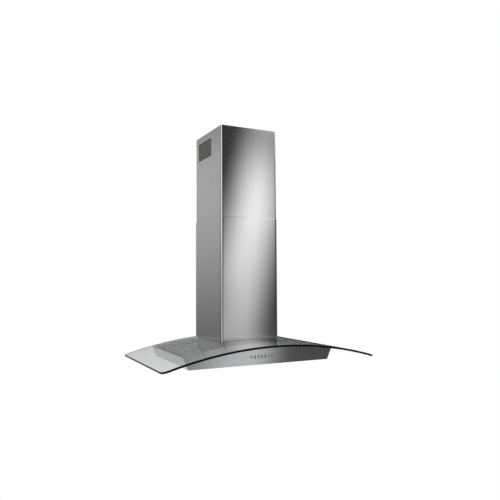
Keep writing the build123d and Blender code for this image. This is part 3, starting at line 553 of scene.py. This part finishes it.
def makeFlue(name, node, corner):
    shape = flueShape
    low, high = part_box(node)
    flue = addBox(name, low, high)
    pick(flue, "FACE", lambda face: abs(face.normal.z) > along or face.normal.y > along)
    bpy.ops.mesh.delete(type="FACE")
    pick(flue, "EDGE", lambda edge: isUpright(edge) and edge.verts[0].co.y < low.y + near)
    roundSelected(corner, segments=12)
    for side in (-1, 1):
        pick(flue, "EDGE", lambda edge: isUpright(edge) and edge.verts[0].co.y > high.y - near
             and edge.verts[0].co.x * side > high.x - near)
        move = (-side * shape["returnWidth"], 0, 0)
        bpy.ops.mesh.extrude_region_move(TRANSFORM_OT_translate={"value": move})
    pick(flue, "FACE", lambda face: True)
    bpy.ops.mesh.normals_make_consistent(inside=False)
    if node == "lower_flue":
        shapeLowerEnds(flue, low, high)
    useModifier(flue, "SOLIDIFY", thickness=shape["sheet"], offset=-1, use_even_offset=True)
    return flue


def shapeLowerEnds(flue, low, high):
    # the foot follows the glass, and the top edge leans in
    shape = flueShape
    steps = shape["footSteps"]
    bisectAt(flue, [(high.x * step / steps, 0, 0) for step in range(1 - steps, steps)], (1, 0, 0))
    for spot in flue.data.vertices:
        if spot.co.z < low.z + near:
            spot.co.z = archHeight(spot.co.x) + shape["seat"]
    bisectAt(flue, [(0, 0, high.z - shape["lipHeight"])], (0, 0, 1))
    for spot in flue.data.vertices:
        if spot.co.z > high.z - near:
            spot.co.x *= 1 - shape["lipLean"] / high.x
            spot.co.y *= 1 + shape["lipLean"] / low.y


def finishFlue(flue, node, body):
    softenEdges(flue, flueShape["edge"], angle=50)
    complete(flue, "flueSteel", node, body)


lowerFlue = makeFlue("lowerFlueChannel", "lower_flue", flueShape["corner"])
finishFlue(lowerFlue, "lower_flue", "hood")

ventShape = {
    "flange": 3 * mm,            # behind the sheet, around the window
    "flangeSheet": 1.2 * mm,
    "flangeEdge": 0.2 * mm,
    "rim": 4 * mm,
    "rimEdge": 0.3 * mm,
    "blades": 21,
    "bladeSheet": 0.8 * mm,
    "bladeDepth": 4.2 * mm,
    "lean": 48,                  # degrees, the outer edge higher
    "ribs": 7,
    "ribWidth": 1.2 * mm,
    "recess": 0.5 * mm,          # of the ribs, behind the rim
    "ribBack": 1.6 * mm,
    "root": 0.2 * mm,            # how far blades and ribs run into the rim
    "edge": 0.2 * mm,            # of blades and ribs
}


def cutVentWindows(flue):
    # one opening through both sides
    low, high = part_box("left_vent_grille")
    flange = ventShape["flange"]
    reach = -low.x + past
    cutAway(flue, addBox("window", (-reach, low.y + flange, low.z + flange),
                         (reach, high.y - flange, high.z - flange)))


upperFlue = makeFlue("upperFlueChannel", "upper_flue", flueShape["corner"] - flueShape["step"])
cutVentWindows(upperFlue)
finishFlue(upperFlue, "upper_flue", "upper_flue")
print("flue folded")


def addRing(name, low, high, wall):
    # a flat frame across X with a square opening through it
    ring = addBox(name, low, high)
    pick(ring, "FACE", lambda face: abs(face.normal.x) > along)
    bpy.ops.mesh.inset(thickness=wall)
    bpy.ops.mesh.bridge_edge_loops()
    clearSelection()
    return ring


def makeLeftVent():
    shape = ventShape
    low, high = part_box("left_vent_grille")
    flange, root = shape["flange"], shape["root"]
    rimLow = (low.x, low.y + flange, low.z + flange)
    rimHigh = (high.x, high.y - flange, high.z - flange)
    rim = addRing("ventRim", rimLow, rimHigh, shape["rim"])
    softenEdges(rim, shape["rimEdge"])
    back = addRing("ventFlange", (high.x - shape["flangeSheet"], low.y, low.z), high, flange)
    softenEdges(back, shape["flangeEdge"])
    bottom, top = rimLow[2] + shape["rim"], rimHigh[2] - shape["rim"]
    front, rear = rimLow[1] + shape["rim"], rimHigh[1] - shape["rim"]
    pitch = (top - bottom) / shape["blades"]
    clearSelection()
    centre = ((low.x + high.x) / 2, (front + rear) / 2, bottom + pitch / 2)
    bpy.ops.mesh.primitive_cube_add(size=1, location=centre)
    blade = bpy.context.object
    blade.name = "ventBlade"
    blade.scale = (shape["bladeDepth"], rear - front + 2 * root, shape["bladeSheet"])
    blade.rotation_euler = (0, math.radians(shape["lean"]), 0)
    settle(blade)
    softenEdges(blade, shape["edge"], segments=1)
    blades = copyRow(blade, shape["blades"], (0, 0, pitch))
    gap = (rear - front) / (shape["ribs"] + 1)
    halfRib = shape["ribWidth"] / 2
    rib = addBox("ventRib", (low.x + shape["recess"], front + gap - halfRib, bottom - root),
                 (low.x + shape["ribBack"], front + gap + halfRib, top + root))
    softenEdges(rib, shape["edge"], segments=1)
    ribs = copyRow(rib, shape["ribs"], (0, gap, 0))
    # the rim and flange are black plastic, and their dark tone also stands in as painted shade for the recess
    # around the insert
    for part in [rim, back]:
        setFinish(part, "blackPlastic")
    for part in blades + ribs:
        setFinish(part, "ventPlastic")
    return joinAll([rim, back] + blades + ribs, "leftVentInsert")


leftVent = makeLeftVent()
rightVent = mirrorCopy(leftVent, "rightVentInsert")
complete(leftVent, None, "left_vent_grille", "upper_flue")
complete(rightVent, None, "right_vent_grille", "upper_flue")
print("vents made")

buttonShape = {
    "rim": 1.2 * mm,             # the collar that keeps the button behind the panel
    "collarFront": 2.7 * mm,     # behind the button's face
    "collar": 1.5 * mm,
    "collarEdge": 0.2 * mm,
    "corner": 1 * mm,
    "dish": 0.3 * mm,            # how deep the face is sunk
    "margin": 0.8 * mm,
    "edge": 0.3 * mm,
}
roundButtons = ("lamp_button", "timer_button", "off_button")
buttonRow = ("lamp_button", "speed_1_button", "speed_2_button", "speed_3_button", "speed_4_button",
             "timer_button", "off_button")


def buttonPrism(name, node, front, rear, inset):
    low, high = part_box(node)
    if node in roundButtons:
        centre = ((low.x + high.x) / 2, (front + rear) / 2, (low.z + high.z) / 2)
        return addDrum(name, centre, (high.x - low.x) / 2 - inset, rear - front, "Y", sides=40)
    bar = addBox(name, (low.x + inset, front, low.z + inset), (high.x - inset, rear, high.z - inset))
    pick(bar, "EDGE", lambda edge: abs(edge.verts[0].co.y - edge.verts[1].co.y) > near)
    roundSelected(buttonShape["corner"] + buttonShape["rim"] - inset, segments=6)
    return bar


def makeButton(node):
    shape = buttonShape
    low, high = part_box(node)
    cap = buttonPrism("buttonCap", node, low.y, high.y, shape["rim"])
    pick(cap, "FACE", lambda face: face.normal.y < -along)
    bpy.ops.mesh.inset(thickness=shape["margin"])
    bpy.ops.transform.translate(value=(0, shape["dish"], 0))
    softenEdges(cap, shape["edge"], segments=3, angle=25)
    collarNear = low.y + shape["collarFront"]
    collar = buttonPrism("buttonCollar", node, collarNear, collarNear + shape["collar"], 0)
    softenEdges(collar, shape["collarEdge"], segments=1)
    button = joinAll([cap, collar], node.replace("_button", "").replace("_", "") + "PushButton")
    complete(button, "buttonCap", node, node + "_body")


for node in buttonRow:
    makeButton(node)
print("buttons made")

meshShape = {
    "cellX": 9 * mm,             # one diamond of the expanded sheet
    "cellY": 6 * mm,
    "strand": 0.8 * mm,
    "layers": (-2.4 * mm, 0, 2.4 * mm),
    "cells": 74,
}
latchShape = {
    "plateHalf": 35 * mm,        # the solid patch of the frame that holds the latch
    "plateDepth": 30 * mm,
    "body": 3 * mm,
    "bodyCorner": 1.2 * mm,
    "bodyEdge": 0.4 * mm,
    "tabFront": 5 * mm,
    "tab": 3 * mm,
    "tabWidth": 24 * mm,
    "tabRound": 1.3 * mm,
    "tabEdge": 0.3 * mm,
    "grooves": 4,                # for the finger
    "grooveWidth": 1.2 * mm,
    "grooveDepth": 0.5 * mm,
    "grooveHeight": 4 * mm,
    "travel": 5 * mm,
}


def makeMesh():
    shape = meshShape
    low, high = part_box("right_filter_mesh")
    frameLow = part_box("right_filter_frame")[0]
    middle = (low + high) / 2
    span = shape["cells"] / math.sqrt(2)       # the grid stands on its corner, so its squares are diamonds
    patch = frameLow.y + latchShape["plateDepth"]
    sides = [(low, (-1, 0, 0)), (low, (0, -1, 0)), (high, (1, 0, 0)), (high, (0, 1, 0))]
    layers = []
    for index, rise in enumerate(shape["layers"]):
        clearSelection()
        bpy.ops.mesh.primitive_grid_add(x_subdivisions=shape["cells"], y_subdivisions=shape["cells"], size=1)
        sheet = bpy.context.object
        sheet.name = "meshLayer"
        sheet.rotation_euler = (0, 0, math.pi / 4)
        settle(sheet)
        sheet.scale = (shape["cellX"] * span, shape["cellY"] * span, 1)
        shift = shape["cellX"] / 4 * (index % 2)      # the middle layer lies a little aside
        sheet.location = (middle.x + shift, middle.y, middle.z + rise)
        settle(sheet)
        for place, normal in sides:
            pick(sheet, "FACE", lambda face: True)
            bpy.ops.mesh.bisect(plane_co=place, plane_no=normal, clear_outer=True)
        pick(sheet, "FACE", lambda face: face.calc_center_median().y < patch
             and abs(face.calc_center_median().x - middle.x) < latchShape["plateHalf"])
        bpy.ops.mesh.delete(type="FACE")
        useModifier(sheet, "WIREFRAME", thickness=shape["strand"], use_boundary=True)
        layers.append(sheet)
    return joinAll(layers, "rightFilterGauze")


rightMesh = makeMesh()
leftMesh = mirrorCopy(rightMesh, "leftFilterGauze")
complete(rightMesh, "meshAluminium", "right_filter_mesh", "right_filter")
complete(leftMesh, "meshAluminium", "left_filter_mesh", "left_filter")
print("filter gauze made")


def makeLatch():
    shape = latchShape
    low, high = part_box("right_filter_latch")
    middle = (low.x + high.x) / 2
    half = shape["tabWidth"] / 2
    body = addBox("latchBody", (low.x, low.y, high.z - shape["body"]), high)
    pick(body, "EDGE", isUpright)
    roundSelected(shape["bodyCorner"], segments=3)
    softenEdges(body, shape["bodyEdge"])
    front = low.y + shape["tabFront"]
    back = front + shape["tab"]
    tab = addBox("latchTab", (middle - half, front, low.z), (middle + half, back, high.z - shape["body"] / 2))
    pick(tab, "EDGE", lambda edge: liesBelow(edge, low.z + near))
    roundSelected(shape["tabRound"], segments=4)
    softenEdges(tab, shape["tabEdge"])
    pitch = shape["tabWidth"] / (shape["grooves"] + 1)
    start = middle - half + pitch
    halfGroove, depth = shape["grooveWidth"] / 2, shape["grooveDepth"]
    groove = addBox("groove", (start - halfGroove, front - depth, low.z - past),
                    (start + halfGroove, front + depth, low.z + shape["grooveHeight"]))
    cutAway(tab, joinAll(copyRow(groove, shape["grooves"], (pitch, 0, 0)), "grooves"))
    return joinAll([body, tab], "rightFilterCatch")


rightLatch = makeLatch()
leftLatch = mirrorCopy(rightLatch, "leftFilterCatch")
complete(rightLatch, "blackPlastic", "right_filter_latch", "right_latch")
complete(leftLatch, "blackPlastic", "left_filter_latch", "left_latch")
print("latches made")


def makeSpring(side):
    # the coil behind the catch; the real one shortens as the catch slides back, this copy keeps its length
    node = side + "_filter_latch_spring"
    coil = bpy.data.objects.new(side + "CatchSpring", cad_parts[node].data.copy())
    scene.collection.objects.link(coil)
    pick(coil, "VERT", lambda corner: True)
    bpy.ops.mesh.remove_doubles(threshold=0.001 * mm)
    clearSelection()
    complete(coil, "springWire", node, side + "_filter")
    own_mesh(coil)


for side in ("left", "right"):
    makeSpring(side)
print("springs made")

screwShape = {
    "head": 3.6 * mm,            # radius, as is the shank's
    "headHeight": 2.2 * mm,
    "headRound": 0.9 * mm,
    "headSides": 32,
    "shank": 2 * mm,
    "shankSides": 20,
    "length": 8 * mm,
    "point": 0.5 * mm,
    "slotLength": 3.8 * mm,
    "slotWidth": 0.9 * mm,
    "slotDepth": 1.2 * mm,
    "frontY": -320 * mm,         # the front and rear screws under the flange
    "rearY": -60 * mm,
    "clampPitch": 150 * mm,      # two screws on each side of the clamp frame
    "clampSheet": 1.5 * mm,
}


def makeScrew():
    # one screw with its seat at the origin and its head downwards
    shape = screwShape
    height = shape["headHeight"]
    head = addDrum("screwHead", (0, 0, -height / 2), shape["head"], height, "Z", shape["headSides"])
    pick(head, "EDGE", lambda edge: liesBelow(edge, near - height))
    roundSelected(shape["headRound"], segments=4)
    long, wide = shape["slotLength"] / 2, shape["slotWidth"] / 2
    for halfX, halfY in ((long, wide), (wide, long)):
        slot = addBox("slot", (-halfX, -halfY, -height - past), (halfX, halfY, shape["slotDepth"] - height))
        cutAway(head, slot)
    length = shape["length"]
    shank = addDrum("screwShank", (0, 0, length / 2), shape["shank"], length, "Z", shape["shankSides"])
    pick(shank, "FACE", lambda face: face.normal.z > along)
    roundSelected(shape["point"], segments=1)
    clearSelection()
    return joinAll([head, shank], "screw")


def makeScrews():
    shape = screwShape
    low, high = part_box("pan_head_screws")
    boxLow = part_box("blower_box_shell")[0]
    flangeX = high.x - shape["head"]
    seatZ = low.z + shape["headHeight"]
    rows = (shape["frontY"], shape["rearY"])
    places = [((side * flangeX, y, seatZ), (0, 0, 0)) for side in (-1, 1) for y in rows]
    face = -boxLow.x + shape["clampSheet"]
    frontY, middleY = boxLow.y - shape["clampSheet"], boxLow.y / 2
    clampZ = high.z - shape["head"]
    turn = math.pi / 2
    for offset in (-shape["clampPitch"] / 2, shape["clampPitch"] / 2):
        places.append(((face, middleY + offset, clampZ), (0, -turn, 0)))
        places.append(((-face, middleY + offset, clampZ), (0, turn, 0)))
        places.append(((offset, frontY, clampZ), (-turn, 0, 0)))
    screw = makeScrew()
    screws = []
    for place, angles in places:
        one = copyOf(screw, "screw")
        one.rotation_euler = angles
        one.location = place
        screws.append(settle(one))
    bpy.data.objects.remove(screw)
    return joinAll(screws, "crossRecessScrews")


complete(makeScrews(), "zincPlated", "pan_head_screws", "hood")
print("screws made")

# folded sheet and turned edges of the CAD pieces, so that they catch the light
edgeWidths = {
    "canopy_front_panel": 0.4 * mm,
    "canopy_left_side": 0.4 * mm,
    "canopy_right_side": 0.4 * mm,
    "left_filter_frame": 0.6 * mm,
    "right_filter_frame": 0.6 * mm,
    "left_lamp_housing": 0.5 * mm,
    "right_lamp_housing": 0.5 * mm,
}
for name, width in edgeWidths.items():
    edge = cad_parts[name].modifiers.new("edge", "BEVEL")
    edge.width = width
    edge.segments = 2
    edge.limit_method = "ANGLE"
    edge.angle_limit = math.radians(45)
    edge.harden_normals = False
print("edges softened")

view = {
    "place": (-1.0026, -2.2796, 0.0891),
    "heading": 0.46535,      # radians to the right of +Y
    "tilt": 0.05725,         # radians up
    "roll": -0.0056,         # radians, with the right side up
    "lens": 38.85,           # mm, as is the sensor's width
    "sensor": 36,
    "farthest": 100,
}


def makeCamera():
    heading, tilt, roll = view["heading"], view["tilt"], view["roll"]
    level = math.cos(tilt)
    forward = Vector((math.sin(heading) * level, math.cos(heading) * level, math.sin(tilt)))
    right = Vector((math.cos(heading), -math.sin(heading), 0))
    up = right.cross(forward)
    turnedRight = right * math.cos(roll) + up * math.sin(roll)
    turnedUp = up * math.cos(roll) - right * math.sin(roll)
    camera = bpy.data.cameras.new("camera")
    camera.lens = view["lens"]
    camera.sensor_width = view["sensor"]
    camera.clip_end = view["farthest"]
    holder = bpy.data.objects.new("camera", camera)
    axes = Matrix((turnedRight, turnedUp, -forward)).transposed().to_4x4()
    holder.matrix_world = Matrix.Translation(view["place"]) @ axes
    scene.collection.objects.link(holder)
    scene.camera = holder


makeCamera()

studio = {
    "floorDrop": 1.3,        # metres below the hood
    "floorSize": 24,
    "floorTone": 0.92,
    "floorGlow": 0.14,
    "ambient": 0.95,
}
white = (1, 1, 1, 1)


def makeFloor():
    clearSelection()
    height = cadBox[0][2] - studio["floorDrop"]
    bpy.ops.mesh.primitive_plane_add(size=studio["floorSize"], location=(0, 0, height))
    floor = settle(bpy.context.object)
    floor.name = "floor"
    material, tree = emptyMaterial("paleFloor")
    tone = studio["floorTone"]
    matt = addNode(tree, "ShaderNodeBsdfDiffuse", {"Color": (tone, tone, tone, 1)})
    glow = addNode(tree, "ShaderNodeEmission", {"Color": white, "Strength": studio["floorGlow"]})
    both = addNode(tree, "ShaderNodeAddShader", links={0: matt.outputs[0], 1: glow.outputs[0]})
    addNode(tree, "ShaderNodeOutputMaterial", links={"Surface": both.outputs[0]})
    floor.data.materials.append(material)


def makeWorld():
    # seen directly, in a mirror or through the glass it is white, and as a light it is a little dimmer
    world = bpy.data.worlds.new("studio")
    scene.world = world
    world.use_nodes = True
    tree = world.node_tree
    tree.nodes.clear()
    path = addNode(tree, "ShaderNodeLightPath")
    seen = addNode(tree, "ShaderNodeMath", {"operation": "MAXIMUM"},
                   {0: path.outputs["Is Camera Ray"], 1: path.outputs["Is Glossy Ray"]})
    through = addNode(tree, "ShaderNodeMath", {"operation": "MAXIMUM"},
                      {0: seen.outputs[0], 1: path.outputs["Is Transmission Ray"]})
    level = addNode(tree, "ShaderNodeMapRange", {"To Min": studio["ambient"], "To Max": 1.0},
                    {"Value": through.outputs[0]})
    glow = addNode(tree, "ShaderNodeBackground", {"Color": white}, {"Strength": level.outputs[0]})
    addNode(tree, "ShaderNodeOutputWorld", links={"Surface": glow.outputs[0]})


# A card's light is the brightest of its layers. A layer is a sum of terms, and a term a product of falls.
# A fall has the way it runs, where it starts and ends in metres, and its levels before and after.
across, inward, upward = (1, 0, 0), (0, 1, 0), (0, 0, 1)
cornerward = (0.9, 0, 1)         # towards the far upper corner
stripPeak = 1.82
stripLeft = ((1, 0, -0.25), 0.125, 0.405, 0.0, 1.0)      # the soft edges of a strip that leans to the right
stripRight = ((1, 0, -0.19), 0.442, 0.722, 1.0, 0.0)
strip = [
    stripLeft,
    stripRight,
    (cornerward, 1.07, 1.7, stripPeak, 0.28 * stripPeak),
    (upward, -0.2, 0.48, 0.53, 1.0, "LINEAR"),
    (upward, -0.36, -0.2, 1.22, 1.0),
]
cards = {
    "stripLight": {              # a tall soft strip on a dark card in front, to the right
        "low": (-1.1, -1.284, -1.2),
        "high": (2.6, -1.284, 1.22),
        "layers": [
            [
                strip,
                # less light at the strip's lower left
                strip + [(across, 0.33, 0.48, -0.27, 0.0, "LINEAR"), (upward, -0.05, 0.25, 1.0, 0.0)],
                # the dark part grows lighter low down, by the floor, at the far right and near the left
                [(upward, -0.4, 0.0, 0.14, 0.072)],
                [(upward, -1.1, -0.5, 0.6, 0.0)],
                [(across, 1.2, 2.4, 0.0, 0.4), (upward, -0.5, -0.2, 1.0, 0.0)],
                [(across, 0.05, 0.36, 0.34, 0.0), (upward, 0.1, 0.8, 1.0, 0.0)],
            ],
            # a gentler slope at the left, low down
            [[(across, -0.05, 0.3, 0.2, 1.02, "LINEAR"), stripRight, (upward, -0.29, -0.26, 1.0, 0.0)]],
            # the top of the strip burns brighter, for the leaning lip alone
            [[stripLeft, (upward, 1.04, 1.1, 0.0, 2.1)]],
        ],
    },
    "sideCard": {                # left of the flue
        "low": (-1.128, -1.4, -2.4),
        "high": (-1.128, 14.0, 4.0),
        "layers": [
            # a dark gap, and past it a soft rise from bottom to top
            [[(inward, 1.45, 1.85, 0.15, 1.0), (upward, -0.75, 0.9, 0.22, 0.74),
              (upward, 1.1, 1.5, 1.0, 0.72)]],
            # the bright end that draws the flue's front corner
            [[(inward, -0.08, 0.12, 1.8, 0.0), (upward, -0.15, 0.7, 0.5, 1.0)]],
        ],
    },
    "backCard": {                # far behind, dimmer towards the right
        "low": (-1.1, 3.0, -0.7),
        "high": (3.4, 3.0, 1.1),
        "layers": [[[(across, -0.4, 1.8, 0.17, 0.055)]]],
    },
    "rightCard": {               # pale at the back and dark at the front
        "low": (2.6, -1.284, -1.2),
        "high": (2.6, 1.1, 1.22),
        "layers": [[[(inward, -0.25, 0.25, 0.06, 0.6)]]],
    },
}


def addLight(tree, place, parts, joins=("MAXIMUM", "ADD", "MULTIPLY")):
    # layers hold terms and terms hold falls, and each level joins its parts in its own way
    if joins:
        sockets = [addLight(tree, place, part, joins[1:]) for part in parts]
        total = sockets[0]
        for socket in sockets[1:]:
            total = addNode(tree, "ShaderNodeMath", {"operation": joins[0]}, {0: total, 1: socket}).outputs[0]
        return total
    way, start, end, before, after, curve = (*parts, "SMOOTHSTEP")[:6]      # smooth unless it says LINEAR
    distance = addNode(tree, "ShaderNodeVectorMath", {"operation": "DOT_PRODUCT", 1: way}, {0: place})
    fall = addNode(tree, "ShaderNodeMapRange",
                   {"interpolation_type": curve, "From Min": start, "From Max": end,
                    "To Min": before, "To Max": after}, {"Value": distance.outputs["Value"]})
    return fall.outputs[0]


def makeCard(name, card):
    # only reflections see it, so that it lights nothing and hides nothing
    low, high = card["low"], card["high"]
    corners = [low, (*high[:2], low[2]), high, (*low[:2], high[2])]
    mesh = bpy.data.meshes.new(name)
    mesh.from_pydata(corners, [], [(0, 1, 2, 3)])
    piece = bpy.data.objects.new(name, mesh)
    scene.collection.objects.link(piece)
    for ray in ("camera", "diffuse", "transmission", "volume_scatter", "shadow"):
        setattr(piece, "visible_" + ray, False)
    material, tree = emptyMaterial(name)
    place = addNode(tree, "ShaderNodeTexCoord").outputs["Object"]
    glow = addNode(tree, "ShaderNodeEmission", links={"Strength": addLight(tree, place, card["layers"])})
    addNode(tree, "ShaderNodeOutputMaterial", links={"Surface": glow.outputs[0]})
    material.cycles.emission_sampling = "NONE"
    mesh.materials.append(material)


makeFloor()
makeWorld()
for name, card in cards.items():
    makeCard(name, card)
scene.view_settings.view_transform = "Standard"
print("stage set")
